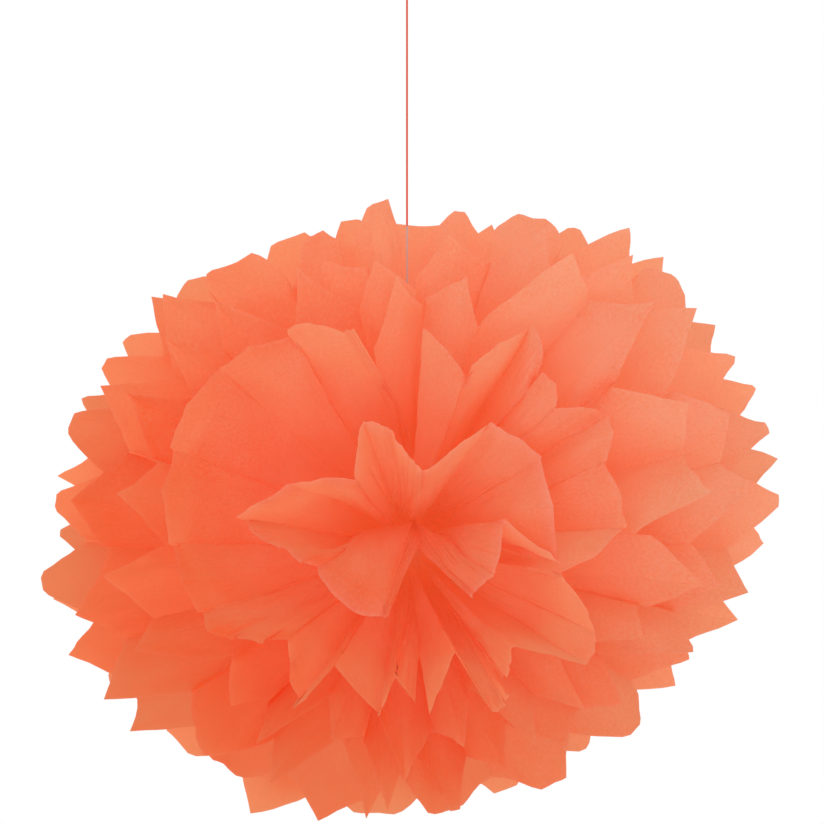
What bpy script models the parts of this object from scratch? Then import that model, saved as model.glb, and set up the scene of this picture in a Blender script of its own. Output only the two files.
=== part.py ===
# A tissue paper pom pom on a thread, at its real size, in metres and degrees.
# Ten sheets of pleated paper cross a wire tie at their middle. Each opens into a right and a left
# half fan, five of them pulled to the front (-Y) and five to the back. The origin is inside the top
# of the hanging loop. An azimuth is seen from the front about the tie: 0 is right, 90 is up.
# A polar angle is measured from straight to the front or to the back.
import math
import random

import bmesh
import bpy
from mathutils import Vector

# The paper
SHEETS_EACH_WAY = 5
PANELS = 12  # in each sheet, between its folds
PANEL_WIDTH = 0.048
HALF_LENGTH = 0.185  # from the tie to the notches between the teeth
TOOTH_DEPTH = 0.025
PAPER_THICKNESS = 0.0003
PAPER_COLOUR = (0.896, 0.164, 0.072, 1.0)

# The gathered waist under the tie
WAIST_DIAMETER = 0.011
WAIST_LENGTH = 0.003
SHEET_PITCH = 0.001

# The teeth of the outermost front sheet and of the sheet behind it: each tip's azimuth, and its reach
# as a share of the sheet's length from the tie to a tip
FRONT_TEETH = (
    (
        (-79, 0.690), (-58, 0.724), (-39, 0.757), (-22, 0.786), (-8, 0.890), (7, 0.967),
        (18, 0.981), (30, 0.976), (44, 0.976), (55, 1.0), (69, 0.905), (81, 0.871),
    ),
    (
        (94, 0.890), (107, 0.833), (121, 0.852), (136, 0.919), (149, 0.910), (160, 0.924),
        (173, 0.914), (186, 0.948), (198, 0.919), (214, 0.862), (230, 0.738), (252, 0.748),
    ),
)
BACK_TEETH = (
    (
        (-68, 0.695), (-49, 0.710), (-28, 0.790), (-13, 0.881), (0, 0.924), (13, 0.986),
        (24, 0.990), (35, 0.981), (48, 1.0), (62, 0.929), (75, 0.857), (88, 0.824),
    ),
    (
        (100, 0.852), (111, 0.848), (130, 0.890), (144, 0.905), (156, 0.924), (169, 0.924),
        (178, 0.900), (189, 0.929), (206, 0.850), (221, 0.790), (240, 0.819), (264, 0.713),
    ),
)
# The folds of the two innermost front sheets, the flower, as (azimuth, polar angle). Some panels of
# the innermost one cling together and are one here.
FLOWER_FOLDS = (
    (
        (
            (-44, 9), (-36, 13), (19, 17), (24, 24), (29, 19), (34, 26), (39, 20), (46, 25), (72, 12),
        ),
        (
            (76, 12), (108, 22), (122, 14), (134, 12), (148, 23), (169, 30), (193, 16), (222, 15), (248, 11),
        ),
    ),
    (
        (
            (-83, 29), (-64, 19), (-62, 28), (-52, 27), (-41, 32), (-33, 39), (-7, 31),
            (5, 40), (34, 46), (43, 37), (60, 48), (70, 32), (85, 39),
        ),
        (
            (105, 40), (119, 43), (137, 46), (158, 43), (180, 36), (200, 37), (208, 35),
            (218, 26), (235, 35), (238, 23), (261, 29), (265, 21), (273, 26),
        ),
    ),
)
FLOWER_TOOTH_DEPTH = 0.008  # its petals are blunter
RING_SHARES = (0.21, 0.43, 0.60, 0.79, 1.0)  # each rim's place between the pole and the outermost one
FLATNESS = 0.05  # by which the ball is less deep than wide, from the tie to the front or back
WIDEST_POLAR = (82, 74, 82, 58)  # of the outermost rims, at the right, top, left and bottom
SEAM_WANDER = (3, 5, -4, 8, 0)  # how far each sheet's seams lie from straight up and down
SEAM_OVERLAP = 6  # by which each fan reaches past the seam
BEND_LENGTH = 0.020  # over which a rib turns from the tie to its own polar angle
FAN_LENGTH = 0.008  # over which it turns from its even place in the fan to its own azimuth
FLARE = 0.065  # how far a rib halfway to the side hangs back to the pole, as a share of its length
NECK_ROWS = (0.0, 0.013, 0.037)  # distances from the tie
OUTER_ROWS = (0.45, 0.73, 1.0)  # shares of a rib

# Unevenness left by pulling the sheets apart by hand
FOLD_UNEVENNESS = 0.35
POLAR_UNEVENNESS = 2.0
TOOTH_UNEVENNESS = 0.2
TIP_CURL = 25  # of each tooth away from the pole
CURL_SHARE = 1.0  # a tooth curls by at most this share of its own polar angle
STEEPEST_POLAR = 88  # so that the front sheets stay in front of the tie and the back ones behind it
LEAST_RING_GAP = 3.6
DEEPEST_PLEAT = 10
SEED = 7

# What ties and hangs it
GAP = 0.0003  # between pieces that touch
WIRE_DIAMETER = 0.001
TIE_POINTS = 24
THREAD_DIAMETER = 0.0011
THREAD_LENGTH = 0.297
THREAD_POINTS = 40
KNOT_DIAMETER = 0.0034
LOOP_HEIGHT = 0.018
LOOP_WIDTH = 0.009
LOOP_POINTS = 20
WIRE_COLOUR = (0.42, 0.41, 0.40, 1.0)
THREAD_COLOUR = (0.87, 0.10, 0.03, 1.0)


def clear_scene():
    for item in list(bpy.data.objects):
        bpy.data.objects.remove(item, do_unlink=True)


def make_material(name, colour, roughness, metallic):
    material = bpy.data.materials.new(name)
    material.use_nodes = True
    shader = material.node_tree.nodes["Principled BSDF"]
    shader.inputs["Base Color"].default_value = colour
    shader.inputs["Roughness"].default_value = roughness
    shader.inputs["Metallic"].default_value = metallic
    material.diffuse_color = colour
    return material


def add_object(name, data, material, collection):
    data.materials.append(material)
    item = bpy.data.objects.new(name, data)
    collection.objects.link(item)
    return item


def tip_reach(share):
    return share * (HALF_LENGTH + TOOTH_DEPTH)


def share_at(azimuth, teeth):
    # how far the outermost rim's tips reach in this direction, eased from tip to tip
    tips = sorted(tip for fan in teeth for tip in fan)
    tips = [(tips[-1][0] - 360, tips[-1][1])] + tips + [(tips[0][0] + 360, tips[0][1])]
    azimuth = (azimuth + 90) % 360 - 90
    for (a0, r0), (a1, r1) in zip(tips, tips[1:]):
        if a0 <= azimuth <= a1:
            return r0 + (r1 - r0) * (1 - math.cos(math.pi * (azimuth - a0) / (a1 - a0))) / 2
    return tips[-1][1]


def widest_polar(azimuth):
    right, top, left, bottom = WIDEST_POLAR
    up = math.sin(math.radians(azimuth))
    across = math.cos(math.radians(azimuth))
    side = right if across > 0 else left
    upright = top if up > 0 else bottom
    return side * across**2 + upright * up**2


def rim_distance(azimuth, teeth):
    # from the tie to the notches, so that a curled tooth at the widest polar angle reaches the outline
    widest = widest_polar(azimuth)
    tooth = TOOTH_DEPTH * math.sin(math.radians(min(widest + TIP_CURL, STEEPEST_POLAR)))
    return (tip_reach(share_at(azimuth, teeth)) - tooth) / math.sin(math.radians(widest))


def on_map(azimuth, polar):
    # the rims seen along the pole: polar angle as the distance from the middle
    return Vector((polar * math.cos(math.radians(azimuth)), polar * math.sin(math.radians(azimuth))))


def rim_polar(rims, azimuth):
    # the outermost of these rims in this direction, or None where none lies
    ray = on_map(azimuth, 1)
    found = []
    for rim in rims:
        for first, second in zip(rim, rim[1:]):
            start, end = on_map(*first), on_map(*second)
            from_ray, to_ray = ray.cross(start), ray.cross(end)
            if from_ray * to_ray > 0 or from_ray == to_ray:
                continue
            polar = ray.dot(start.lerp(end, from_ray / (from_ray - to_ray)))
            if polar > 0:
                found.append(polar)
    return max(found, default=None)


def settle(rim, laid):
    # lifts a rim outward until it lies clear of every rim inside it
    settled = []
    for azimuth, polar in rim:
        under = rim_polar(laid, azimuth)
        settled.append([azimuth, polar if under is None else max(polar, under + LEAST_RING_GAP)])
    for azimuth, polar in (fold for other in laid for fold in other):
        now = rim_polar([settled], azimuth)
        lack = 0 if now is None else polar + LEAST_RING_GAP - now
        if lack <= 0:
            continue
        for fold in settled:
            if abs((fold[0] - azimuth + 180) % 360 - 180) < 180 / PANELS:
                fold[1] += lack
    return [(azimuth, min(polar, STEEPEST_POLAR)) for azimuth, polar in settled]


def fold_azimuths(side, ring, own, seams, shared_steps, teeth):
    # the outermost rim has its folds midway between its tips; the others share one loosened pattern
    if ring == SHEETS_EACH_WAY - 1:
        tips = [azimuth for azimuth, share in teeth[side]]
        middles = [(a + b) / 2 for a, b in zip(tips, tips[1:])]
        return [2 * tips[0] - middles[0]] + middles + [2 * tips[-1] - middles[-1]]
    start, end = (seams[0], seams[1]) if side == 0 else (seams[1], seams[0] + 360)
    start -= SEAM_OVERLAP
    end += SEAM_OVERLAP
    looseness = FOLD_UNEVENNESS * (1 - 0.75 * RING_SHARES[ring])
    widths = [1 + looseness * (step + 0.5 * own.uniform(-1, 1)) for step in shared_steps[side]]
    scale = (end - start) / sum(widths)
    azimuths = [start]
    for width in widths:
        azimuths.append(azimuths[-1] + width * scale)
    return azimuths


def pleated_rim(side, ring, own, seams, shared_steps, teeth):
    # alternate folds rise and fall about the ring's own polar angle, as deep as the panel's width allows
    azimuths = fold_azimuths(side, ring, own, seams, shared_steps, teeth)
    rim = []
    for place, azimuth in enumerate(azimuths):
        middle = RING_SHARES[ring] * widest_polar(azimuth)
        before = azimuths[max(0, place - 1)]
        after = azimuths[min(PANELS, place + 1)]
        step = (after - before) / (2 if 0 < place < PANELS else 1)
        panel_angle = math.degrees(PANEL_WIDTH / rim_distance(azimuth, teeth))
        pleat = math.sqrt(max(0.0, panel_angle**2 - (step * math.sin(math.radians(middle))) ** 2))
        lift = min(pleat, DEEPEST_PLEAT) / 2 * (1 if place % 2 else -1)
        rim.append((azimuth, middle + lift + POLAR_UNEVENNESS * own.uniform(-1, 1)))
    return rim


def rim_curves():
    # for each way and each sheet from the pole outwards: the (azimuth, polar) of its folds, in the
    # right fan and in the left one
    shared = random.Random(SEED)
    shared_steps = {side: [shared.uniform(-1, 1) for _ in range(PANELS)] for side in (0, 1)}
    sets = []
    for way, teeth in enumerate((FRONT_TEETH, BACK_TEETH)):
        placed = []
        rims = []
        for ring in range(SHEETS_EACH_WAY):
            own = random.Random(SEED * 100 + way * 10 + ring)
            wander = SEAM_WANDER[ring % len(SEAM_WANDER)]
            seams = (-90 + wander, 90 - wander)
            fans = []
            for side in (0, 1):
                if way == 0 and ring < len(FLOWER_FOLDS):
                    rim = FLOWER_FOLDS[ring][side]
                else:
                    rim = settle(pleated_rim(side, ring, own, seams, shared_steps, teeth), placed)
                fans.append(rim)
                placed.append(rim)
            rims.append(fans)
        sets.append(rims)
    return sets


def direction(azimuth, polar, facing):
    across = math.sin(math.radians(polar))
    return Vector(
        (
            across * math.cos(math.radians(azimuth)),
            -facing * math.cos(math.radians(polar)),
            across * math.sin(math.radians(azimuth)),
        )
    )


def rib_point(root, even_azimuth, azimuth, polar, along, facing, reach):
    # from its root a rib turns quickly to its own direction, and it flares away from the pole at its end
    distance = along * (1 - FLATNESS * math.cos(math.radians(polar)) ** 2)
    raised = polar + (90 - polar) * math.exp(-distance / BEND_LENGTH)
    turned = azimuth + (even_azimuth - azimuth) * math.exp(-distance / FAN_LENGTH)
    share = min(along / reach, 1.0)
    hang = FLARE * reach * math.sin(math.radians(2 * polar)) * 6.75 * share**2 * (1 - share)
    straight = root + distance * direction(turned, raised, facing)
    return straight - hang * direction(azimuth, polar + 90, facing)


def make_sheet(name, fans, level, facing, teeth, flower, outermost, centre, material, collection):
    # level is the sheet's place in the stack at the waist, where its row 0 lies; the last row is the rim
    rows = len(NECK_ROWS) + len(OUTER_ROWS) - 1
    panels = len(fans[0]) - 1
    uneven = random.Random(name)
    half_width = math.sqrt((WAIST_DIAMETER / 2) ** 2 - (abs(level) + PAPER_THICKNESS / 2) ** 2)
    mesh = bmesh.new()
    bmesh.ops.create_grid(mesh, x_segments=2 * rows + 1, y_segments=2 * panels, size=1.0)

    def fold_point(side, fold, row):
        # folds are counted from the bottom up, and the left fan's rim runs from the top down
        azimuth, polar = fans[side][fold if side == 0 else panels - fold]
        height = 2 * fold / panels - 1
        root = centre + Vector(((0.5 - side) * WAIST_LENGTH, level, half_width * height))
        even_azimuth = 90 * height if side == 0 else 180 - 90 * height
        reach = rim_distance(azimuth, teeth)
        length = HALF_LENGTH if flower else reach
        places = NECK_ROWS + tuple(share * length for share in OUTER_ROWS)
        return rib_point(root, even_azimuth, azimuth, polar, places[row], facing, reach)

    middles = set()
    tips = set()
    for vertex in mesh.verts:
        step = round((vertex.co.x + 1) / 2 * (2 * rows + 1))
        fold, odd = divmod(round((vertex.co.y + 1) * panels), 2)
        side = 0 if step > rows else 1
        row = step - rows - 1 if side == 0 else rows - step
        vertex.co = fold_point(side, fold, row)
        if not odd:
            continue
        vertex.co = (vertex.co + fold_point(side, fold + 1, row)) / 2
        if row < rows:
            middles.add(vertex)
            continue
        tips.add(vertex)
        panel = fold if side == 0 else panels - 1 - fold
        (a0, p0), (a1, p1) = fans[side][panel : panel + 2]
        depth = FLOWER_TOOTH_DEPTH if flower else TOOTH_DEPTH
        depth *= 1 + TOOTH_UNEVENNESS * uneven.uniform(-1, 1)
        polar = (p0 + p1) / 2
        curl = min(TIP_CURL, polar * CURL_SHARE)
        polar = max(polar, min(polar + curl, STEEPEST_POLAR))
        vertex.co += depth * direction((a0 + a1) / 2, polar, facing)
        if outermost:
            azimuth, share = teeth[side][panel]
            vertex.co.x = centre.x + tip_reach(share) * math.cos(math.radians(azimuth))
            vertex.co.z = centre.z + tip_reach(share) * math.sin(math.radians(azimuth))

    # the paper is flat between its folds, so only a tooth's tip keeps a vertex in the middle of a panel
    inside = middles | tips
    lines = [edge for edge in mesh.edges if all(v in inside for v in edge.verts)]
    bmesh.ops.dissolve_edges(mesh, edges=lines)
    bmesh.ops.dissolve_verts(mesh, verts=list(middles))
    bmesh.ops.triangulate(mesh, faces=mesh.faces)
    bmesh.ops.recalc_face_normals(mesh, faces=mesh.faces)
    data = bpy.data.meshes.new(name)
    mesh.to_mesh(data)
    mesh.free()
    item = add_object(name, data, material, collection)
    shell = item.modifiers.new("paper thickness", "SOLIDIFY")
    shell.thickness = PAPER_THICKNESS
    shell.offset = 0.0
    return item


def make_tube(name, points, diameter, closed, material, collection):
    curve = bpy.data.curves.new(name, "CURVE")
    curve.dimensions = "3D"
    curve.bevel_depth = diameter / 2
    curve.bevel_resolution = 2
    curve.use_fill_caps = not closed
    spline = curve.splines.new("POLY")
    spline.points.add(len(points) - 1)
    for slot, place in zip(spline.points, points):
        slot.co = (*place, 1.0)
    spline.use_cyclic_u = closed
    return add_object(name, curve, material, collection)


def make_knot(name, centre, material, collection):
    mesh = bmesh.new()
    bmesh.ops.create_uvsphere(mesh, u_segments=10, v_segments=8, radius=KNOT_DIAMETER / 2)
    for face in mesh.faces:
        face.smooth = True
    data = bpy.data.meshes.new(name)
    mesh.to_mesh(data)
    mesh.free()
    knot = add_object(name, data, material, collection)
    knot.location = centre
    return knot


def main():
    clear_scene()
    collection = bpy.data.collections.new("tissue_pom_pom")
    bpy.context.scene.collection.children.link(collection)
    paper = make_material("tissue paper", PAPER_COLOUR, 0.8, 0.0)
    thread = make_material("thread", THREAD_COLOUR, 0.7, 0.0)
    wire = make_material("tie wire", WIRE_COLOUR, 0.4, 1.0)

    # heights above the tie
    ring_radius = WAIST_DIAMETER / 2 + GAP + WIRE_DIAMETER / 2
    thread_foot = ring_radius + WIRE_DIAMETER / 2 + GAP
    knot_height = thread_foot + THREAD_LENGTH + GAP + KNOT_DIAMETER / 2
    loop_foot = knot_height + KNOT_DIAMETER / 2 + GAP
    loop_top = loop_foot + LOOP_HEIGHT
    centre = Vector((0.0, 0.0, THREAD_DIAMETER / 2 - loop_top))

    sets = rim_curves()
    for way, (facing, teeth) in enumerate(((1, FRONT_TEETH), (-1, BACK_TEETH))):
        for ring in range(SHEETS_EACH_WAY):
            number = ring + 1 if facing == 1 else 2 * SHEETS_EACH_WAY - ring
            level = (number - SHEETS_EACH_WAY - 0.5) * SHEET_PITCH
            name = f"tissue_sheet_{number:02d}"
            flower = facing == 1 and ring < len(FLOWER_FOLDS)
            outermost = ring == SHEETS_EACH_WAY - 1
            make_sheet(
                name, sets[way][ring], level, facing, teeth, flower, outermost, centre, paper, collection
            )

    turns = [2 * math.pi * step / TIE_POINTS for step in range(TIE_POINTS)]
    tie = [centre + ring_radius * Vector((0.0, math.sin(turn), math.cos(turn))) for turn in turns]
    make_tube("tie_wire", tie, WIRE_DIAMETER, True, wire, collection)

    run = [
        centre + Vector((0.0, 0.0, thread_foot + THREAD_LENGTH * step / (THREAD_POINTS - 1)))
        for step in range(THREAD_POINTS)
    ]
    make_tube("hanging_thread", run, THREAD_DIAMETER, False, thread, collection)
    make_knot("thread_knot", centre + Vector((0.0, 0.0, knot_height)), thread, collection)

    # the loop is a drop that narrows to its two ends, side by side on the knot
    loop = []
    for step in range(LOOP_POINTS):
        turn = 2 * math.pi * step / (LOOP_POINTS - 1)
        swell = math.sin(turn / 2) ** 0.6 * math.sin(turn) * LOOP_WIDTH / 2
        side = math.copysign(1, math.pi - turn) * (THREAD_DIAMETER / 2 + GAP)
        across = swell + side * (1 - math.sin(turn / 2)) ** 2
        loop.append(centre + Vector((across, 0.0, loop_foot + LOOP_HEIGHT * (1 - math.cos(turn)) / 2)))
    make_tube("hanging_loop", loop, THREAD_DIAMETER, False, thread, collection)


main()
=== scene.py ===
import math
import random

import bpy
import numpy as np
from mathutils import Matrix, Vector, noise


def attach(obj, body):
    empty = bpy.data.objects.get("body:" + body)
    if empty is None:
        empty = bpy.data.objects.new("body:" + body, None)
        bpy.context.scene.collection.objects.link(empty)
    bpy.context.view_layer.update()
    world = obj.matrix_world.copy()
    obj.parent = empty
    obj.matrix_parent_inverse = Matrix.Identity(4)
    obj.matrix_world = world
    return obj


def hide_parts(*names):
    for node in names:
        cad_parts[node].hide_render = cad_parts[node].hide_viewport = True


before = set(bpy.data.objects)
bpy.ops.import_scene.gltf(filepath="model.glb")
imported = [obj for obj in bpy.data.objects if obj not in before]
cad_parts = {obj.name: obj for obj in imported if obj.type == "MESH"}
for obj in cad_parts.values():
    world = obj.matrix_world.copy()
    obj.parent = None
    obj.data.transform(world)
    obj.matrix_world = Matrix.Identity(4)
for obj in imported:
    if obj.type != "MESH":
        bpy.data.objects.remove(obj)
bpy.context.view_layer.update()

# The tissue paper pom pom, dressed. Metres and degrees, in the frame of the solids: the origin is
# inside the top of the hanging loop, +Z is up and the flower looks to -Y.
# An azimuth is seen from the front about the tie: 0 is right, 90 is up. A polar angle is measured
# from straight to the front or to the back.


class Value:
    # one socket; a sum on it adds its Math nodes
    def __init__(self, finish, socket):
        self.finish = finish
        self.socket = socket

    def maths(self, operation, *others):
        inputs = dict(enumerate((self,) + others))
        return self.finish.add("ShaderNodeMath", {"operation": operation}, inputs)

    def __add__(self, other):
        return self.maths("ADD", other)

    __radd__ = __add__

    def __sub__(self, other):
        return self.maths("SUBTRACT", other)

    def __rsub__(self, other):
        return self * -1.0 + other

    def __mul__(self, other):
        return self.maths("MULTIPLY", other)

    __rmul__ = __mul__

    def clamped(self):
        return self.finish.add("ShaderNodeMath", {"operation": "ADD", "use_clamp": True}, {0: self, 1: 0.0})


class Finish:
    # the nodes of a material or of the world
    def __init__(self, owner, shader="Principled BSDF", end="Material Output"):
        owner.use_nodes = True
        self.owner = owner
        self.tree = owner.node_tree
        self.shader = self.tree.nodes[shader]
        self.end = self.tree.nodes[end]

    def put(self, socket, value):
        if isinstance(value, Value):
            self.tree.links.new(value.socket, socket)
        elif hasattr(value, "__len__") and len(value) == 3 and socket.type == "RGBA":
            socket.default_value = (*value, 1.0)
        else:
            socket.default_value = value

    def add(self, kind, settings=None, inputs=None, output=0):
        # one node: its settings first, then its values and links; several outputs come back as a list
        node = self.tree.nodes.new(kind)
        for key, value in (settings or {}).items():
            if key == "stops":
                ramp = node.color_ramp
                while len(ramp.elements) < len(value):
                    ramp.elements.new(0.5)
                for stop, (place, shade) in zip(ramp.elements, value):
                    stop.position = place
                    stop.color = (shade, shade, shade, 1.0)
            else:
                setattr(node, key, value)
        for key, value in (inputs or {}).items():
            self.put(node.inputs[key], value)
        if isinstance(output, tuple):
            return [Value(self, node.outputs[key]) for key in output]
        return Value(self, node.outputs[output])

    def feed(self, name, value):
        self.put(self.shader.inputs[name], value)

    def parts(self, place):
        return self.add("ShaderNodeSeparateXYZ", None, {0: place}, (0, 1, 2))

    def blend(self, amount, first, second):
        settings = {"data_type": "RGBA", "blend_type": "MIX"}
        return self.add("ShaderNodeMix", settings, {0: amount, 6: first, 7: second}, 2)

    def grain(self, place, scale, detail=2.0, roughness=0.5, distortion=0.0):
        inputs = {"Vector": place, "Scale": scale, "Detail": detail,
                  "Roughness": roughness, "Distortion": distortion}
        return self.add("ShaderNodeTexNoise", {"noise_dimensions": "3D"}, inputs)

    def stretched(self, place, across, along):
        inputs = {0: place, 1: (across, along, 1.0)}
        return self.add("ShaderNodeVectorMath", {"operation": "MULTIPLY"}, inputs)

    def ramp(self, amount, stops):
        return self.add("ShaderNodeValToRGB", {"stops": stops}, {0: amount})

    def relief(self, strength, depth, height):
        return self.add("ShaderNodeBump", None, {"Strength": strength, "Distance": depth, "Height": height})

    def mixShader(self, amount, other):
        # the finish's own shader and another one, to its output
        own = Value(self, self.shader.outputs[0])
        mixed = self.add("ShaderNodeMixShader", None, {0: amount, 1: own, 2: other})
        self.put(self.end.inputs["Surface"], mixed)


# what ties and hangs it: the same sizes as in the solids
hanging = {
    "wireDiameter": 0.001,
    "waistDiameter": 0.011,
    "gap": 0.0003,
    "threadDiameter": 0.0011,
    "threadLength": 0.297,
    "threadPoints": 40,
    "knotDiameter": 0.0034,
    "loopHeight": 0.018,
    "loopWidth": 0.009,
    "loopPoints": 64,
    "loopFullness": 0.6,  # the less, the fuller its lower half
}
wireRing = hanging["waistDiameter"] / 2 + hanging["gap"] + hanging["wireDiameter"] / 2
threadFoot = wireRing + hanging["wireDiameter"] / 2 + hanging["gap"]
threadTop = threadFoot + hanging["threadLength"]
knotHeight = threadTop + hanging["gap"] + hanging["knotDiameter"] / 2
loopFoot = knotHeight + hanging["knotDiameter"] / 2 + hanging["gap"]
tie = Vector((0.0, 0.0, hanging["threadDiameter"] / 2 - loopFoot - hanging["loopHeight"]))

view = {"distance": 5.0, "frameWidth": 0.4466, "right": 0.0027, "aboveTie": 0.0715}
camera = bpy.data.objects.new("camera", bpy.data.cameras.new("camera"))
bpy.context.scene.collection.objects.link(camera)
camera.data.lens = camera.data.sensor_width * view["distance"] / view["frameWidth"]
camera.location = (view["right"], -view["distance"], tie.z + view["aboveTie"])
camera.rotation_euler = (math.pi / 2, 0.0, 0.0)
bpy.context.scene.camera = camera
print("camera made")


def addPiece(name, vertices, faces, finish, nodes, uvSets=(), creaseAngle=None):
    # each set of uvs has one (u, v) for each vertex
    data = bpy.data.meshes.new(name)
    data.from_pydata([tuple(v) for v in vertices], [], faces)
    corners = np.empty(len(data.loops), dtype=np.int64)
    data.loops.foreach_get("vertex_index", corners)
    for title, pairs in uvSets:
        layer = data.uv_layers.new(name=title)
        layer.data.foreach_set("uv", np.asarray(pairs, dtype=np.float32)[corners].ravel())
    data.polygons.foreach_set("use_smooth", [True] * len(data.polygons))
    data.materials.append(finish.owner)
    data.update()
    if creaseAngle:
        data.set_sharp_from_angle(angle=math.radians(creaseAngle))
    item = bpy.data.objects.new(name, data)
    bpy.context.scene.collection.objects.link(item)
    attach(item, "root")
    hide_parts(*nodes)
    return item


def sweep(paths, diameter, sides):
    # round tubes along open paths, closed at both ends; u runs round and v along, in metres
    vertices, faces, uvs = [], [], []
    for path in paths:
        points = [Vector(p) for p in path]
        across = None
        along = 0.0
        first = len(vertices)
        for i, point in enumerate(points):
            before = points[max(0, i - 1)]
            after = points[min(len(points) - 1, i + 1)]
            ahead = (after - before).normalized()
            if across is None:
                across = ahead.orthogonal().normalized()
            across = (across - ahead * across.dot(ahead)).normalized()
            up = ahead.cross(across)
            along += (point - before).length if i else 0.0
            for k in range(sides + 1):
                turn = 2 * math.pi * k / sides
                if k < sides:
                    vertices.append(point + diameter / 2 * (across * math.cos(turn) + up * math.sin(turn)))
                    uvs.append((k / sides, along))
        for i in range(len(points) - 1):
            a = first + i * sides
            for k in range(sides):
                n = (k + 1) % sides
                faces.append((a + k, a + n, a + sides + n, a + sides + k))
        faces.append(tuple(first + k for k in reversed(range(sides))))
        last = first + (len(points) - 1) * sides
        faces.append(tuple(last + k for k in range(sides)))
    return vertices, faces, uvs


threadLook = {
    "coral": (0.87, 0.12, 0.035),
    "deep": (0.74, 0.07, 0.02),
    "pale": (0.72, 0.60, 0.57),  # paler below a height over the tie, where it lies in front of the petals
    "paleTop": 0.173,
    "paleSharpness": 900.0,
    "plies": 2.0,
    "twistPitch": 0.0022,
    "fibreScale": 5200.0,
    "roughness": 0.62,
    "reliefStrength": 0.35,
    "reliefDepth": 0.0002,
    "sides": 12,
}


def threadFinish():
    finish = Finish(bpy.data.materials.new("twisted coral thread"))
    place = finish.add("ShaderNodeTexCoord", None, None, "Object")
    right, away, height = finish.parts(place)
    turn = right.maths("ARCTAN2", away)
    twist = turn * threadLook["plies"] + height * (2 * math.pi / threadLook["twistPitch"])
    ply = twist.maths("SINE") * 0.5 + 0.5
    fibre = finish.grain(place, threadLook["fibreScale"], 3.0)
    shade = (0.45 + ply * 0.25 + fibre * 0.4).clamped()
    coral = finish.blend(shade, threadLook["deep"], threadLook["coral"])
    low = (((tie.z + threadLook["paleTop"]) - height) * threadLook["paleSharpness"]).clamped()
    finish.feed("Base Color", finish.blend(low, coral, threadLook["pale"]))
    finish.feed("Roughness", threadLook["roughness"] + fibre * 0.2)
    twined = ply + fibre * 0.4
    finish.feed("Normal", finish.relief(threadLook["reliefStrength"], threadLook["reliefDepth"], twined))
    return finish


thread = threadFinish()
threadPath = [
    tie + Vector((0.0, 0.0, threadFoot + hanging["threadLength"] * step / (hanging["threadPoints"] - 1)))
    for step in range(hanging["threadPoints"])
]
vertices, faces, uvs = sweep([threadPath], hanging["threadDiameter"], threadLook["sides"])
threadPiece = addPiece("hanging_thread_twisted", vertices, faces, thread,
                       ["hanging_thread"], [("round", uvs)])

loopPath = []
for step in range(hanging["loopPoints"]):
    turn = 2 * math.pi * step / (hanging["loopPoints"] - 1)
    swell = math.sin(turn / 2) ** hanging["loopFullness"] * math.sin(turn) * hanging["loopWidth"] / 2
    side = math.copysign(1, math.pi - turn) * (hanging["threadDiameter"] / 2 + hanging["gap"])
    loopPath.append(tie + Vector((
        swell + side * (1 - math.sin(turn / 2)) ** 2,
        0.0,
        loopFoot + hanging["loopHeight"] * (1 - math.cos(turn)) / 2,
    )))
vertices, faces, uvs = sweep([loopPath], hanging["threadDiameter"], threadLook["sides"])
loopPiece = addPiece("hanging_loop_twisted", vertices, faces, thread,
                     ["hanging_loop"], [("round", uvs)])

# the knot: one leg of the loop runs straight down to the thread, the other is wound round it
knotLook = {
    "strand": 0.0008,
    "sides": 10,
    "straightLeg": ((0.0, 0.0, 0.0), (0.0, 0.0, 0.0012), (-0.0001, 0.0, 0.0028), (-0.0005, 0.0, 0.0036),
                    (-0.00085, 0.0, 0.0042)),
    "woundLeg": ((0.00085, 0.0, 0.0042), (0.0011, 0.0, 0.0038)),
    "windTop": 0.0032,
    "windHeight": 0.0024,
    "windRadius": 0.00125,
    "turns": 3.0,
    "steps": 72,
    "looseEnd": (0.0017, 0.0003, 0.0004),
}
bottom = tie.z + threadTop


def overThread(points):
    return [(x, y, bottom + z) for x, y, z in points]


winding = []
for step in range(knotLook["steps"] + 1):
    share = step / knotLook["steps"]
    turn = 2 * math.pi * knotLook["turns"] * share
    winding.append((knotLook["windRadius"] * math.cos(turn), knotLook["windRadius"] * math.sin(turn),
                    knotLook["windTop"] - knotLook["windHeight"] * share))
straight = overThread(knotLook["straightLeg"])
wound = overThread([*knotLook["woundLeg"], *winding, knotLook["looseEnd"]])
vertices, faces, uvs = sweep([straight, wound], knotLook["strand"], knotLook["sides"])
knotPiece = addPiece("thread_knot_wound", vertices, faces, thread,
                     ["thread_knot"], [("round", uvs)])
print("thread, knot and loop made")


wireLook = {
    "steel": (0.42, 0.41, 0.40),
    "dark": (0.20, 0.18, 0.17),
    "tarnishScale": 900.0,
    "drawnScale": (9000.0, 900.0),
    "roughness": 0.38,
    "reliefStrength": 0.3,
    "reliefDepth": 0.0001,
}


def wireFinish():
    finish = Finish(bpy.data.materials.new("soft iron wire"))
    place = finish.add("ShaderNodeTexCoord", None, None, "Object")
    tarnish = finish.grain(place, wireLook["tarnishScale"], 4.0, 0.6)
    drawn = finish.grain(finish.stretched(place, *wireLook["drawnScale"]), 1.0, 2.0)
    stained = finish.ramp(tarnish, [(0.35, 0.0), (0.7, 1.0)])
    finish.feed("Base Color", finish.blend(stained, wireLook["steel"], wireLook["dark"]))
    finish.feed("Metallic", 1.0)
    finish.feed("Roughness", wireLook["roughness"] + tarnish * 0.25)
    finish.feed("Normal", finish.relief(wireLook["reliefStrength"], wireLook["reliefDepth"], drawn))
    return finish


wire = wireFinish()
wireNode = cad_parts["tie_wire"]
for slot in wireNode.material_slots:
    slot.material = wire.owner
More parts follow.
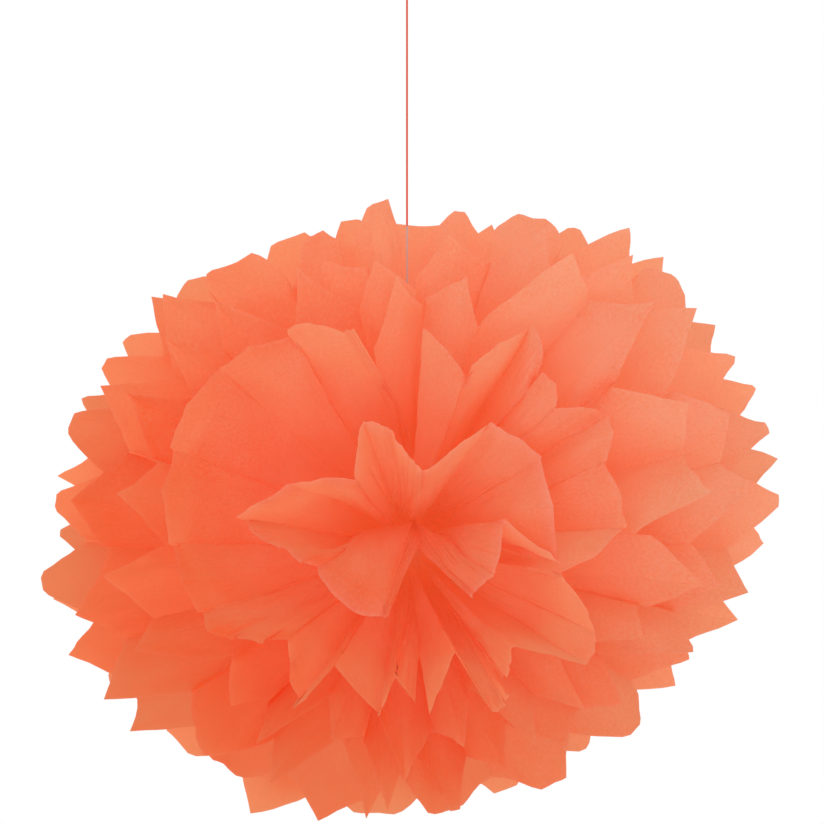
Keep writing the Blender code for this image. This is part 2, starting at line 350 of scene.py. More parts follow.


# the tissue; its colour is painted paler towards the upper right of the ball and deeper at the lower left:
# painted light and shade, as the light falls from the upper right
paperLook = {
    "pale": (1.0, 0.550, 0.365),
    "deep": (1.0, 0.222, 0.056),
    # painted highlight: the paler colour of the paper at its cut edges
    "edge": (1.0, 0.560, 0.420),
    "through": (1.0, 0.350, 0.165),
    "throughShare": 0.66,  # of the light passes through the paper; paler paper passes less
    "throughFade": 0.3,
    "paintedGlow": (1.0, 0.46, 0.150),  # painted light: an emission in the depths, standing in for the light that many layers of paper pass on to each other
    "paintedGlowStrength": 0.17,
    "paintedGlowEnds": [(0.08, 1.0), (0.85, 0.35)],
    # painted light and shade: how the paper is painted paler towards the upper right, where the light comes
    # from, and deeper towards the lower left
    "paintedLightWidth": 0.50,
    "paintedLightRight": 1.25,
    "paintedLightUp": 1.15,
    # painted light: how much paler the hidden, shaded part of each sheet is painted
    "paintedDepthLightEnds": [(0.45, 1.0), (0.97, 0.0)],
    "paintedDepthLightShare": 0.65,
    "cloudScale": 32.0,
    "cloudShare": 0.55,
    "fibreScale": 800.0,
    "speckle": 1.5,
    "toneShift": 0.37,
    "crinkleScale": 170.0,
    "highlightEnds": [(0.05, 1.0), (0.22, 0.45), (1.0, 0.0)],
    "roughness": 0.78,
    "gloss": 0.15,
    "reliefStrength": 0.5,
    "reliefDepth": 0.0016,
}


def paperFinish(name, highlightShare, highlightWidth):
    finish = Finish(bpy.data.materials.new(name))
    place = finish.add("ShaderNodeTexCoord", None, None, "Object")
    right, height = finish.parts(place)[::2]
    flat = finish.add("ShaderNodeUVMap", {"uv_map": "paper"})
    spread = finish.add("ShaderNodeUVMap", {"uv_map": "rim"})
    fromEdge, reach = finish.parts(spread)[:2]

    # painted light and shade: paler towards the upper right and deeper towards the lower left
    towardLight = right * paperLook["paintedLightRight"] + (height - tie.z) * paperLook["paintedLightUp"]
    paintedLight = (0.5 + towardLight * (1 / paperLook["paintedLightWidth"])).clamped()
    cloud = finish.grain(flat, paperLook["cloudScale"], 5.0, 0.62)
    fibre = finish.grain(finish.stretched(flat, 1.0, 0.7), paperLook["fibreScale"], 4.0, 0.7)
    crinkle = finish.grain(finish.stretched(flat, 1.0, 0.35), paperLook["crinkleScale"], 4.0, 0.55, 0.6)
    crease = (crinkle - 0.5).maths("ABSOLUTE") * 2.0

    # painted light: the hidden part of each sheet is painted paler, so that its shaded depths stay bright
    inside = finish.ramp(reach, paperLook["paintedDepthLightEnds"])
    tone = paintedLight + inside * paperLook["paintedDepthLightShare"] + cloud * paperLook["cloudShare"]
    tone = (tone + (fibre - 0.5) * paperLook["speckle"] - paperLook["toneShift"]).clamped()
    colour = finish.blend(tone, paperLook["deep"], paperLook["pale"])
    # painted highlight: the paper is painted paler near its cut edges, where a curled edge catches the light
    nearEdge = finish.ramp(fromEdge * (1 / highlightWidth), paperLook["highlightEnds"])
    finish.feed("Base Color", finish.blend(nearEdge * highlightShare, colour, paperLook["edge"]))
    finish.feed("Roughness", paperLook["roughness"] + (fibre - 0.5) * 0.16)
    finish.feed("Specular IOR Level", paperLook["gloss"])
    crumpled = crinkle * 0.6 + crease * 0.35 + fibre * 0.08
    bump = finish.relief(paperLook["reliefStrength"], paperLook["reliefDepth"], crumpled)
    finish.feed("Normal", bump)
    # painted light: the paper glows in its depths, most near the tie
    paintedGlowMask = finish.ramp(reach, paperLook["paintedGlowEnds"])
    finish.feed("Emission Color", finish.blend(paintedGlowMask, (0.0, 0.0, 0.0), paperLook["paintedGlow"]))
    finish.feed("Emission Strength", paperLook["paintedGlowStrength"])
    through = finish.add("ShaderNodeBsdfTranslucent", None, {"Color": paperLook["through"], "Normal": bump})
    amount = paperLook["throughShare"] + (0.5 - tone) * paperLook["throughFade"]
    finish.mixShader(amount.clamped(), through)
    return finish


# the flower's sheets have wider and stronger painted highlights at their edges
paper = paperFinish("coral tissue paper", 0.30, 0.003)
flowerPaper = paperFinish("coral tissue paper of the flower", 0.75, 0.010)
print("finishes made")

# how the ball is opened. Of the teeth, each tip's azimuth and its reach, as a share of the sheet's
# length from the tie to a tip
ball = {
    "sheetsEachWay": 5,
    "panels": 12,
    "panelWidth": 0.048,
    "halfLength": 0.185,
    "toothDepth": 0.025,
    "frontTeeth": (
        ((-79, 0.690), (-58, 0.724), (-39, 0.757), (-22, 0.786), (-8, 0.890), (7, 0.967),
         (18, 0.981), (30, 0.976), (44, 0.976), (55, 1.0), (69, 0.905), (81, 0.871)),
        ((94, 0.890), (107, 0.833), (121, 0.852), (136, 0.919), (149, 0.910), (160, 0.924),
         (173, 0.914), (186, 0.948), (198, 0.919), (214, 0.862), (230, 0.738), (252, 0.748)),
    ),
    "backTeeth": (
        ((-68, 0.695), (-49, 0.710), (-28, 0.790), (-13, 0.881), (0, 0.924), (13, 0.986),
         (24, 0.990), (35, 0.981), (48, 1.0), (62, 0.929), (75, 0.857), (88, 0.824)),
        ((100, 0.852), (111, 0.848), (130, 0.890), (144, 0.905), (156, 0.924), (169, 0.924),
         (178, 0.900), (189, 0.929), (206, 0.850), (221, 0.790), (240, 0.819), (264, 0.713)),
    ),
    # the folds of the two innermost front sheets, as (azimuth, polar angle), for the right and left fan
    "placedFolds": {
        0: (
            ((-34, 14), (-33, 13.4), (-14.8, 15.3), (18, 17.5), (-6, 27.2), (34, 28.7), (56.4, 26.5),
             (78, 12.9)),
            ((74, 12.1), (88, 15.2), (97, 20.2), (108, 23.5), (126, 14.5), (151, 23.7), (169.5, 31),
             (178.6, 22.3), (190, 15.7), (249.6, 11.2), (254, 10.7)),
        ),
        1: (
            ((-82.6, 28.6), (-64, 18.8), (-62, 32.9), (-57, 32.1), (-52.5, 28.4), (-43, 25), (-33, 39),
             (-24, 37.3), (-10, 27.5), (5, 40.2), (23.5, 39.5), (33.6, 45.8), (43, 36.6), (52, 41),
             (60.4, 48), (70, 32.5), (85.4, 39)),
            ((104.6, 40.2), (106.6, 40.2), (119, 46), (137, 49), (158, 48), (180, 44), (198, 40),
             (208, 36), (218, 26), (235, 35), (238, 23.4), (261, 29.5), (265, 21), (273, 26.5)),
        ),
    },
    # how far the middle of a fold lies off a straight line, to the right and up, by sheet, fan and fold
    "bows": {
        (0, 0, 0): (-0.015, 0.017), (0, 0, 1): (-0.010, 0.025), (0, 0, 2): (-0.004, 0.012),
        (0, 0, 3): (0.0, 0.004), (0, 0, 4): (-0.003, 0.006), (0, 1, 5): (0.0, 0.006),
        (0, 1, 8): (-0.003, 0.014), (0, 1, 9): (0.008, 0.026), (0, 1, 10): (0.014, 0.028),
        (1, 0, 2): (-0.004, 0.004), (1, 0, 3): (0.0, 0.004), (1, 1, 0): (0.016, 0.0),
        (1, 1, 1): (0.012, 0.0), (1, 1, 12): (0.004, 0.0), (1, 1, 13): (0.006, 0.0),
    },
    # petals whose end has a shape of its own: its place along the panel, depth, roundness and curl
    "placedTips": {
        (0, 0, 0): (0.5, 0.001, 0.0, 30), (0, 0, 1): (0.5, 0.003, 0.3, 45), (0, 0, 2): (0.4, 0.004, 0.5, 45),
        (0, 0, 3): (0.7, 0.005, 0.8, 40), (0, 0, 5): (0.5, 0.003, 0.3, 40), (0, 0, 6): (0.5, 0.002, 0.3, 40),
        (0, 1, 0): (0.5, 0.002, 0.5, 30), (0, 1, 1): (0.5, 0.003, 0.5, 30), (0, 1, 2): (0.5, 0.003, 0.8, 40),
        (0, 1, 3): (0.4, 0.003, 0.5, 40), (0, 1, 8): (0.42, 0.010, 0.95, 55),
        (0, 1, 9): (0.5, 0.001, 0.0, 30),
        (1, 0, 0): (0.4, 0.004, 0.5, 40), (1, 0, 1): (0.5, 0.001, 0.0, 40), (1, 0, 2): (0.5, 0.001, 0.0, 40),
        (1, 0, 4): (0.5, 0.002, 0.0, 30), (1, 0, 5): (0.5, 0.002, 0.0, 30), (1, 0, 6): (0.5, 0.003, 0.0, 50),
        (1, 0, 15): (0.55, 0.006, 0.9, 60), (1, 1, 0): (0.5, 0.001, 0.0, 30),
        (1, 1, 9): (0.5, 0.001, 0.0, 40), (1, 1, 10): (0.6, 0.006, 0.6, 50),
        (1, 1, 12): (0.5, 0.001, 0.0, 40),
    },
    # the round tips of the outermost sheets, by way (1 is to the front), fan and panel
    "roundTips": ((1, 0, 10), (-1, 0, 11), (1, 0, 8), (-1, 1, 2), (1, 1, 2)),
    # folds of the two outermost front sheets that leave the thread in view: their azimuths
    "opened": {(3, 1): {0: 91.8, 1: 98.0}, (4, 1): {0: 91.2}},
    "ringShares": (0.21, 0.43, 0.60, 0.79, 1.0),
    "leftSpread": 0.12,  # on the left the inner sheets lie nearer to the outermost one
    "innerReach": 0.985,  # of the inner sheets' ends, as a share of the outermost one's
    "flatness": 0.05,
    "flare": 0.065,  # how far a rib hangs back to the pole, as a share of its length
    "widestPolar": (82, 74, 82, 58),  # of the outermost sheets: right, top, left and bottom
    "seamWander": (3, 5, -4, 8, 0),
    "seamOverlap": 6,
    "bendLength": 0.020,
    "flowerBend": (0.010, 0.015),  # of the two innermost front sheets, which stand up sooner
    "fanLength": 0.004,
    "foldUnevenness": 0.35,
    "calmOutside": 0.75,  # how much less uneven the outermost sheets' folds are
    "ownUnevenness": 0.5,  # of a single sheet, beside what all of them share
    "polarUnevenness": 2.0,
    "tipCurl": 25,
    "steepestPolar": 88,
    "leastRingGap": 3.6,
    "deepestPleat": 10,
    "seed": 7,
    "waistLength": 0.003,
    "sheetPitch": 0.001,
    "paperThickness": 0.0003,
}


def tipReach(share):
    return share * (ball["halfLength"] + ball["toothDepth"])


def shareAt(azimuth, teeth):
    # how far the outermost rim's tips reach in this direction, eased from tip to tip
    tips = sorted(tip for fan in teeth for tip in fan)
    tips = [(tips[-1][0] - 360, tips[-1][1])] + tips + [(tips[0][0] + 360, tips[0][1])]
    azimuth = (azimuth + 90) % 360 - 90
    for (a0, r0), (a1, r1) in zip(tips, tips[1:]):
        if a0 <= azimuth <= a1:
            return r0 + (r1 - r0) * (1 - math.cos(math.pi * (azimuth - a0) / (a1 - a0))) / 2
    return tips[-1][1]


def widestPolar(azimuth):
    right, top, left, bottom = ball["widestPolar"]
    up = math.sin(math.radians(azimuth))
    across = math.cos(math.radians(azimuth))
    return (right if across > 0 else left) * across**2 + (top if up > 0 else bottom) * up**2


def rimDistance(azimuth, teeth):
    widest = widestPolar(azimuth)
    tooth = ball["toothDepth"] * math.sin(math.radians(min(widest + ball["tipCurl"], ball["steepestPolar"])))
    return (tipReach(shareAt(azimuth, teeth)) - tooth) / math.sin(math.radians(widest))


def onMap(azimuth, polar):
    return Vector((polar * math.cos(math.radians(azimuth)), polar * math.sin(math.radians(azimuth))))


def rimPolar(rims, azimuth):
    # the outermost of these rims in this direction, or None where none lies
    ray = onMap(azimuth, 1)
    found = []
    for rim in rims:
        for first, second in zip(rim, rim[1:]):
            start, end = onMap(*first), onMap(*second)
            fromRay, toRay = ray.cross(start), ray.cross(end)
            if fromRay * toRay > 0 or fromRay == toRay:
                continue
            polar = ray.dot(start.lerp(end, fromRay / (fromRay - toRay)))
            if polar > 0:
                found.append(polar)
    return max(found, default=None)


def settle(rim, laid):
    # lifts a rim outward until it lies clear of every rim inside it
    gap = ball["leastRingGap"]
    settled = []
    for azimuth, polar in rim:
        under = rimPolar(laid, azimuth)
        settled.append([azimuth, polar if under is None else max(polar, under + gap)])
    for azimuth, polar in (fold for other in laid for fold in other):
        now = rimPolar([settled], azimuth)
        lack = 0 if now is None else polar + gap - now
        if lack <= 0:
            continue
        for fold in settled:
            if abs((fold[0] - azimuth + 180) % 360 - 180) < 180 / ball["panels"]:
                fold[1] += lack
    return [(azimuth, min(polar, ball["steepestPolar"])) for azimuth, polar in settled]


def foldAzimuths(side, ring, own, seams, sharedSteps, teeth):
    # the outermost rim has its folds midway between its tips; the others share one loosened pattern
    if ring == ball["sheetsEachWay"] - 1:
        tips = [azimuth for azimuth, share in teeth[side]]
        middles = [(a + b) / 2 for a, b in zip(tips, tips[1:])]
        return [2 * tips[0] - middles[0]] + middles + [2 * tips[-1] - middles[-1]]
    start, end = (seams[0], seams[1]) if side == 0 else (seams[1], seams[0] + 360)
    start -= ball["seamOverlap"]
    end += ball["seamOverlap"]
    looseness = ball["foldUnevenness"] * (1 - ball["calmOutside"] * ball["ringShares"][ring])
    widths = [1 + looseness * (step + ball["ownUnevenness"] * own.uniform(-1, 1))
              for step in sharedSteps[side]]
    scale = (end - start) / sum(widths)
    azimuths = [start]
    for width in widths:
        azimuths.append(azimuths[-1] + width * scale)
    return azimuths


def pleatedRim(side, ring, own, seams, sharedSteps, teeth):
    # alternate folds rise and fall about the ring's own polar angle
    azimuths = foldAzimuths(side, ring, own, seams, sharedSteps, teeth)
    rim = []
    for place, azimuth in enumerate(azimuths):
        share = ball["ringShares"][ring]
        share += ball["leftSpread"] * share * (1 - share) * max(0.0, -math.cos(math.radians(azimuth)))
        middle = share * widestPolar(azimuth)
        before = azimuths[max(0, place - 1)]
        after = azimuths[min(ball["panels"], place + 1)]
        step = (after - before) / (2 if 0 < place < ball["panels"] else 1)
        panelAngle = math.degrees(ball["panelWidth"] / rimDistance(azimuth, teeth))
        pleat = math.sqrt(max(0.0, panelAngle**2 - (step * math.sin(math.radians(middle))) ** 2))
        lift = min(pleat, ball["deepestPleat"]) / 2 * (1 if place % 2 else -1)
        rim.append((azimuth, middle + lift + ball["polarUnevenness"] * own.uniform(-1, 1)))
    return rim


def rimCurves():
    # for the front and the back, and each sheet from the pole outwards: its right and its left rim
    shared = random.Random(ball["seed"])
    sharedSteps = {side: [shared.uniform(-1, 1) for _ in range(ball["panels"])] for side in (0, 1)}
    sets = []
    for way, teeth in enumerate((ball["frontTeeth"], ball["backTeeth"])):
        placed, rims = [], []
        for ring in range(ball["sheetsEachWay"]):
            own = random.Random(ball["seed"] * 100 + way * 10 + ring)
            wander = ball["seamWander"][ring]
            seams = (-90 + wander, 90 - wander)
            fans = []
            for side in (0, 1):
                if way == 0 and ring in ball["placedFolds"]:
                    rim = ball["placedFolds"][ring][side]
                else:
                    rim = settle(pleatedRim(side, ring, own, seams, sharedSteps, teeth), placed)
                    opened = ball["opened"].get((ring, side), {}) if way == 0 else {}
                    for fold, azimuth in opened.items():
                        rim[fold] = (azimuth, rim[fold][1])
                fans.append(rim)
                placed.append(rim)
            rims.append(fans)
        sets.append(rims)
    return sets


# one sheet of tissue; the columns of a panel lie closer together at its folds
sheetLook = {
    "columns": (0.0, 0.025, 0.065, 0.13, 0.205, 0.285, 0.36, 0.43,
                0.5, 0.57, 0.64, 0.715, 0.795, 0.87, 0.935, 0.975),
    "rows": 50,
    "rowCrowding": 1.15,
    "creaseRadius": (0.015, 0.03),  # of a fold, in panels, at the tie and at the rim
    "creaseAngle": 22,  # folds sharper than this are shaded as creases
    "belly": (-0.05, 0.05),  # of a panel between its folds, as a share of its width
    "curlLength": (0.025, 0.055),
    "curl": (0, 34),
    "curlLean": (-0.5, 0.5),
    "curlLimit": 1.2,  # times the polar angle
    "tipPlace": (0.34, 0.66),
    "tipDepth": (0.7, 1.35),
    "tipRoundness": (0.0, 0.2),
    "tipHollow": (0.95, 1.6),  # over 1 the sides of a tip are hollow
    "roundTip": 0.9,  # the roundness of the outermost sheets' round tips
    "placedDepth": (0.15, 0.4),  # the teeth of the two innermost front sheets
    "placedCurl": (30, 70),
    "placedCurlLength": (0.020, 0.034),
    "steerFrom": 0.6,  # where a move of a panel's end begins, as a share of the way there
    # small forms: their depths, and for their noise waves a metre, stretch and step from sheet to sheet
    "nick": 0.0018,
    "nickSteps": (6.1, 3.7, 9.1),
    "ripple": 0.0026,
    "rippleNoise": (34.0, 2.2, 5.3),
    "crumple": 0.0011,
    "crumpleNoise": (120.0, 1.6, 9.7),
    "streak": 0.0011,
    "streakNoise": (105.0, 9.0, 3.1),
    "calmFlower": 0.6,
    "quietNeck": 0.045,
    "lean": 0.003,
    "rimWidth": 0.05,  # how far from its edge the paper knows its distance to it
    "grainSteps": (0.731, 0.2),  # how far the grain moves on from sheet to sheet and from fan to fan
    "seed": 4100,
}
flarePeak = 27 / 4  # brings along**2 * (1 - along) to 1 where it is most


def directions(azimuth, polar, facing):
    a, p = np.radians(azimuth), np.radians(polar)
    return np.stack((np.sin(p) * np.cos(a), -facing * np.cos(p), np.sin(p) * np.sin(a)), -1)


def outward(azimuth, polar, facing):
    # at right angles to the rib, away from the pole
    a, p = np.radians(azimuth), np.radians(polar)
    return np.stack((np.cos(p) * np.cos(a), facing * np.sin(p), np.cos(p) * np.sin(a)), -1)


def ribLine(root, evenAzimuth, azimuth, polar, shares, facing, length, bend):
    # the same line as the solid's rib, and on past its rim where a share is over 1
    distance = shares * length
    distance = distance * (1 - ball["flatness"] * math.cos(math.radians(polar)) ** 2)
    raised = polar + (90 - polar) * np.exp(-distance / bend)
    turned = azimuth + (evenAzimuth - azimuth) * np.exp(-distance / ball["fanLength"])
    return np.asarray(root) + distance[:, None] * directions(turned, raised, facing)


def noiseAt(across, along, scale, stretch, shift):
    spots = zip((across * scale + shift).ravel(), (along * scale / stretch).ravel())
    return np.array([noise.noise(Vector((a, b, shift * 0.7))) for a, b in spots]).reshape(across.shape)


def towardEnd(reach):
    start = sheetLook["steerFrom"]
    return np.clip((reach - start) / (1 - start), 0.0, 1.0) ** 1.5


def makeFan(side, fans, number, level, facing, teeth, outermost, own):
    rim = fans[side]
    ring = number - 1
    placed = facing == 1 and ring in ball["placedFolds"]
    panels = len(rim) - 1
    face = abs(level) + ball["paperThickness"] / 2
    halfWidth = math.sqrt((hanging["waistDiameter"] / 2) ** 2 - face**2)
    crowd = np.array(sheetLook["columns"])
    rows = sheetLook["rows"]
    w = np.linspace(0.0, 1.0, rows + 1) ** sheetLook["rowCrowding"]
    count = panels * len(crowd) + 1
    points = np.empty((count, rows + 1, 3))
    fromEdge = np.empty((count, rows + 1))
    reach = np.empty((count, rows + 1))
    alongs = np.empty((count, rows + 1))

    def root(fold):
        # folds are counted along the rim, and the left fan's rim runs from the top down
        height = 2 * fold / panels - 1
        height = height if side == 0 else -height
        even = 90 * height if side == 0 else 180 - 90 * height
        # the waist narrows to its ends, so that no light passes between the fans
        right = (0.5 - side) * ball["waistLength"] * (1 - height**2)
        return tie + Vector((right, level, halfWidth * height)), even

    roots = [root(fold) for fold in range(panels + 1)]

    def ribLength(azimuth):
        return ball["halfLength"] if placed else rimDistance(azimuth, teeth)

    def rib(fold, shares):
        azimuth, polar = rim[fold]
        bend = ball["flowerBend"][ring] if placed else ball["bendLength"]
        length = ribLength(azimuth)
        line = ribLine(roots[fold][0], roots[fold][1], azimuth, polar, shares, facing, length, bend)
        swing = 4 * shares * (1 - shares)
        if placed and (ring, side, fold) in ball["bows"]:
            right, up = ball["bows"][ring, side, fold]
            line[:, 0] += swing * right
            line[:, 2] += swing * up
            return line
        # from the side a rib is hollow: it hangs back to the pole and flares out at its end
        a = math.radians(azimuth)
        span = rimDistance(azimuth, teeth)
        along = np.clip(shares * ribLength(azimuth) / span, 0.0, 1.0 if placed else 2.0)
        hang = ball["flare"] * span * math.sin(math.radians(2 * polar)) * flarePeak * along**2 * (1 - along)
        aside = sheetLook["lean"] * math.sin(2 * a + 0.5) * polar / 90
        line -= hang[:, None] * outward(np.array(azimuth), np.array(polar), facing)
        line[:, 0] -= swing * aside * math.sin(a)
        line[:, 2] += swing * aside * math.cos(a)
        return line

    for panel in range(panels):
        (a0, p0), (a1, p1) = rim[panel], rim[panel + 1]
        d0, d1 = ribLength(a0), ribLength(a1)
        tipAt = own.uniform(*sheetLook["tipPlace"])
        depth = ball["toothDepth"] * own.uniform(*sheetLook["tipDepth"])
        roundness = own.uniform(*sheetLook["tipRoundness"])
        hollow = own.uniform(*sheetLook["tipHollow"])
        belly = own.uniform(*sheetLook["belly"])
        curlLength = own.uniform(*sheetLook["curlLength"])
        curl = own.uniform(*sheetLook["curl"])
        lean = own.uniform(*sheetLook["curlLean"])
        middle = (p0 + p1) / 2
        if placed:
            depth = ball["toothDepth"] * own.uniform(*sheetLook["placedDepth"])
            curl = own.uniform(*sheetLook["placedCurl"])
            curlLength = own.uniform(*sheetLook["placedCurlLength"])
            if (ring, side, panel) in ball["placedTips"]:
                tipAt, depth, roundness, curl = ball["placedTips"][ring, side, panel]
        else:
            curl = min(curl, max(0.0, sheetLook["curlLimit"] * middle))
        if outermost:
            curl = min(curl, ball["steepestPolar"] - middle)
            if (facing, side, panel) in ball["roundTips"]:
                roundness = sheetLook["roundTip"]
        columns = list(crowd) + ([1.0] if panel == panels - 1 else [])
        start = panel * len(crowd)
        for place, u in enumerate(columns):
            # the tip's place shifts the columns
            u = u * 2 * tipAt if u < 0.5 else 1 - (1 - u) * 2 * (1 - tipAt)
            rise = u / tipAt if u < tipAt else (1 - u) / (1 - tipAt)
            rise = min(1.0, max(0.0, rise))
            tooth = depth * ((1 - roundness) * rise**hollow + roundness * math.sqrt(1 - (1 - rise) ** 2))
            alongRim, bySheet, byFan = sheetLook["nickSteps"]
            nick = noise.noise(Vector(((panel + u) * alongRim, number * bySheet, side * byFan)))
            tooth = max(0.0, tooth + sheetLook["nick"] * nick * min(1.0, 3 * rise))
            body = d0 + (d1 - d0) * u
            full = body + tooth
            s = w * full
            shares = s / body
            line = rib(panel, shares) * (1 - u) + rib(panel + 1, shares) * u
            # folds are rounded over the crease radius
            tight, loose = sheetLook["creaseRadius"]
            radius = tight + (loose - tight) * shares
            for fold, off in ((panel, u), (panel + 1, 1 - u)):
                if 0 < fold < panels:
                    bend = (rib(fold - 1, shares) + rib(fold + 1, shares)) / 2 - rib(fold, shares)
                    soft = np.where(off < radius, (off**2 + radius**2) / (2 * radius) - off, 0.0)
                    line = line + soft[:, None] * bend
            # belly of the panel and curl of its end
            azimuth, polar = a0 + (a1 - a0) * u, p0 + (p1 - p0) * u
            out = outward(azimuth, polar, facing)
            ahead = directions(np.array(azimuth), np.array(polar), facing)
            width = ball["panelWidth"] * np.minimum(1.0, shares)
            puff = belly * 4 * u * (1 - u) * width * np.minimum(1.0, s / sheetLook["quietNeck"])
            over = np.maximum(0.0, s - (full - curlLength))
            turnTo = math.radians(curl * (1 + lean * (2 * u - 1)))
            bendRadius = curlLength / max(turnTo, 0.02)
            lift = bendRadius * (1 - np.cos(over / bendRadius))
            short = over - bendRadius * np.sin(over / bendRadius)
            if placed:
                lift = lift - lift[-1] * np.minimum(1.0, shares) ** 1.5
            line = line + (puff + lift)[:, None] * out - short[:, None] * ahead
            at = start + place
            points[at] = line
            fromEdge[at] = full - s
            reach[at] = s / full
            alongs[at] = s

    # where each point lies on the flat paper; each sheet has a part of the grain of its own
    across = np.empty((count, rows + 1))
    spots = [panel + u for panel in range(panels) for u in crowd] + [float(panels)]
    across[:] = np.array(spots)[:, None] * ball["panelWidth"] * ball["panels"] / panels
    bySheet, byFan = sheetLook["grainSteps"]
    across += number * bySheet + side * byFan

    if not placed:
        # no end reaches past the outermost outline
        most = 1.0 if outermost else ball["innerReach"]
        for at in range(count):
            end = points[at, -1] - np.array(tie)
            far = math.hypot(end[0], end[2])
            past = far - most * tipReach(shareAt(math.degrees(math.atan2(end[2], end[0])), teeth))
            if past > 0:
                pull = past / far * towardEnd(reach[at])
                points[at, :, 0] -= pull * end[0]
                points[at, :, 2] -= pull * end[2]
    if outermost:
        # each tip is steered to its own place on the outline
        tipColumn = len(crowd) // 2
        for panel in range(panels):
            azimuth, share = teeth[side][panel]
            a = math.radians(azimuth)
            tip = points[panel * len(crowd) + tipColumn, -1]
            wanted = tipReach(share) * np.array((math.cos(a), math.sin(a)))
            if facing == 1:
                # a tip that lies nearer to the camera looks larger there
                wanted *= 1 + (tip[1] - tie.y) / view["distance"]
            miss = wanted - np.array((tip[0] - tie.x, tip[2] - tie.z))
            for place, u in enumerate(crowd):
                at = panel * len(crowd) + place
                weight = (1 - abs(2 * u - 1)) * towardEnd(reach[at])
                points[at, :, 0] += weight * miss[0]
                points[at, :, 2] += weight * miss[1]

    # ripples at the rim and crumples in between, at right angles to the paper
    normal = np.cross(np.gradient(points, axis=0), np.gradient(points, axis=1))
    normal /= np.maximum(np.linalg.norm(normal, axis=-1, keepdims=True), 1e-12)
    quiet = np.clip(alongs / sheetLook["quietNeck"], 0.0, 1.0) ** 1.5

    def small(name):
        scale, stretch, step = sheetLook[name]
        return noiseAt(across, alongs, scale, stretch, number * step)

    calm = sheetLook["calmFlower"] if placed else 1.0
    push = quiet * (sheetLook["ripple"] * small("rippleNoise") * reach**3
                    + calm * sheetLook["crumple"] * small("crumpleNoise")
                    + calm * sheetLook["streak"] * small("streakNoise"))
    points += push[..., None] * normal
    return points, across, alongs, fromEdge, reach


def makeSheet(number, fans, level, facing, teeth, outermost):
    own = random.Random(sheetLook["seed"] + number)
    halves = [makeFan(side, fans, number, level, facing, teeth, outermost, own) for side in (0, 1)]
    vertices, faces, flats, rims = [], [], [], []
    starts = []
    for side, (points, across, alongs, fromEdge, reach) in enumerate(halves):
        columns, rows = reach.shape
        starts.append(len(vertices))
        vertices.extend(points.reshape(-1, 3).tolist())
        sign = 1 if side == 0 else -1
        flats.extend(np.stack((across, sign * alongs), -1).reshape(-1, 2).tolist())
        nearEdge = np.minimum(fromEdge, sheetLook["rimWidth"])
        rims.extend(np.stack((nearEdge, reach), -1).reshape(-1, 2).tolist())
        first = starts[side]
        for c in range(columns - 1):
            for r in range(rows - 1):
                a = first + c * rows + r
                b = a + rows
                faces.append((a, a + 1, b + 1, b) if facing == 1 else (a, b, b + 1, a + 1))
    # the waist joins both fans; the left one's columns run from the top down
    right = [starts[0] + c * rows for c in range(halves[0][4].shape[0])]
    left = [starts[1] + c * rows for c in reversed(range(halves[1][4].shape[0]))]
    i = j = 0
    while i < len(right) - 1 or j < len(left) - 1:
        if j == len(left) - 1 or (i < len(right) - 1 and (i + 1) / len(right) <= (j + 1) / len(left)):
            corner = (right[i], right[i + 1], left[j])
            i += 1
        else:
            corner = (right[i], left[j + 1], left[j])
            j += 1
        faces.append(corner if facing == 1 else corner[::-1])
    name = f"tissue_sheet_{number:02d}"
    finish = flowerPaper if number == 1 else paper
    return addPiece(f"tissue_{number:02d}_pleated", vertices, faces, finish,
                    [name], [("paper", flats), ("rim", rims)], sheetLook["creaseAngle"])


rimSets = rimCurves()
perWay = ball["sheetsEachWay"]
for way, (facing, teeth) in enumerate(((1, ball["frontTeeth"]), (-1, ball["backTeeth"]))):
    for ring in range(perWay):
        number = ring + 1 if facing == 1 else 2 * perWay - ring
        level = (number - perWay - 0.5) * ball["sheetPitch"]
        makeSheet(number, rimSets[way][ring], level, facing, teeth, ring == perWay - 1)
    print("sheets made", "in front" if facing == 1 else "behind")


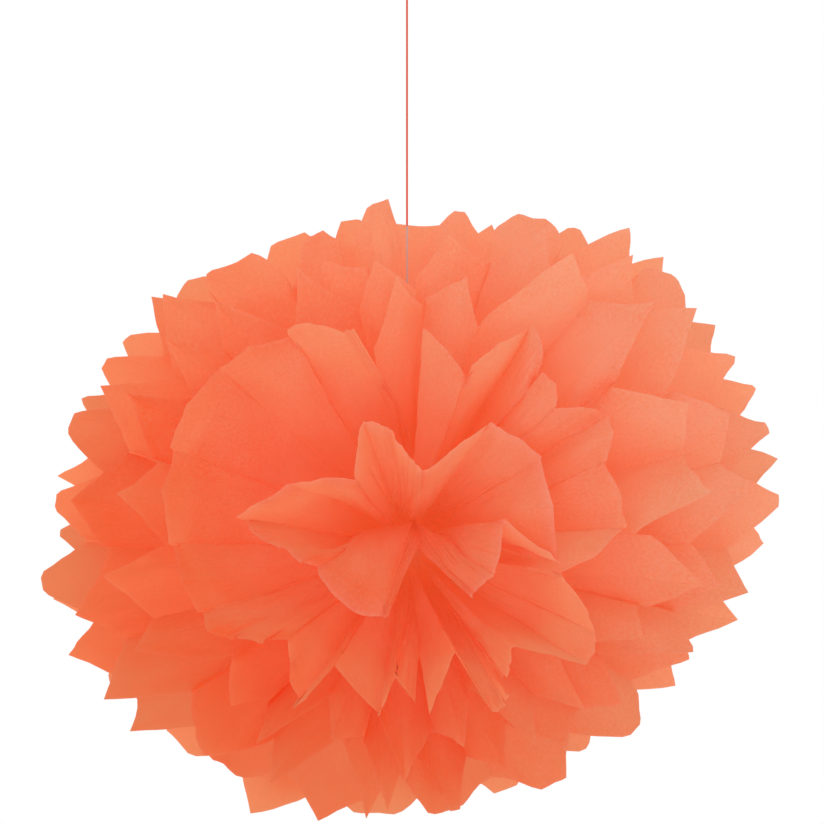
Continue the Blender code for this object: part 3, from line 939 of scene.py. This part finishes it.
stage = {
    "floorHeight": -1.3,
    "floorHalf": 6.0,
    "floorColour": (0.86, 0.86, 0.86),
    "speckColour": (0.88, 0.88, 0.88),
    "speckScale": 6.0,
    "worldLight": 0.81,
    "key": {"place": (1.6, -2.2, 1.3), "size": 1.6, "power": 3.0},
    "fill": {"place": (0.1, -2.7, -1.1), "size": 0.8, "power": 5.5},
    "back": {"place": (0.6, 2.6, 0.9), "size": 2.0, "power": 2.0},
}


def floorFinish():
    finish = Finish(bpy.data.materials.new("pale floor"))
    place = finish.add("ShaderNodeTexCoord", None, None, "Object")
    speck = finish.grain(place, stage["speckScale"], 3.0)
    finish.feed("Base Color", finish.blend(speck, stage["floorColour"], stage["speckColour"]))
    finish.feed("Roughness", 0.8 + speck * 0.1)
    # from below the floor lets the view through
    below = finish.add("ShaderNodeNewGeometry", None, None, "Backfacing")
    finish.mixShader(below, finish.add("ShaderNodeBsdfTransparent"))
    return finish


half = stage["floorHalf"]
floorData = bpy.data.meshes.new("floor")
floorCorners = ((-half, -half), (half, -half), (half, half), (-half, half))
floorData.from_pydata([(x, y, stage["floorHeight"]) for x, y in floorCorners], [], [(0, 1, 2, 3)])
floorData.materials.append(floorFinish().owner)
floor = bpy.data.objects.new("floor", floorData)
bpy.context.scene.collection.objects.link(floor)


def addLamp(name, place, size, power):
    data = bpy.data.lights.new(name, "AREA")
    data.shape = "SQUARE"
    data.size = size
    data.energy = power
    lamp = bpy.data.objects.new(name, data)
    lamp.location = place
    aim = Vector((0.0, 0.0, tie.z)) - Vector(place)
    lamp.rotation_euler = aim.to_track_quat("-Z", "Y").to_euler()
    bpy.context.scene.collection.objects.link(lamp)


for name in ("key", "fill", "back"):
    addLamp(name, **stage[name])

# what the camera sees behind the object is white; the object is lit by the world's own level
studio = Finish(bpy.data.worlds.new("white studio"), "Background", "World Output")
bpy.context.scene.world = studio.owner
studio.feed("Color", (1.0, 1.0, 1.0))
studio.feed("Strength", stage["worldLight"])
white = studio.add("ShaderNodeBackground", None, {"Color": (1.0, 1.0, 1.0), "Strength": 1.0})
rays = ("Is Camera Ray", "Is Glossy Ray", "Is Transmission Ray")
direct, glossy, refracted = studio.add("ShaderNodeLightPath", None, None, rays)
studio.mixShader((direct + glossy + refracted).clamped(), white)
bpy.context.scene.view_settings.view_transform = "Standard"
print("studio made")

bpy.context.view_layer.update()
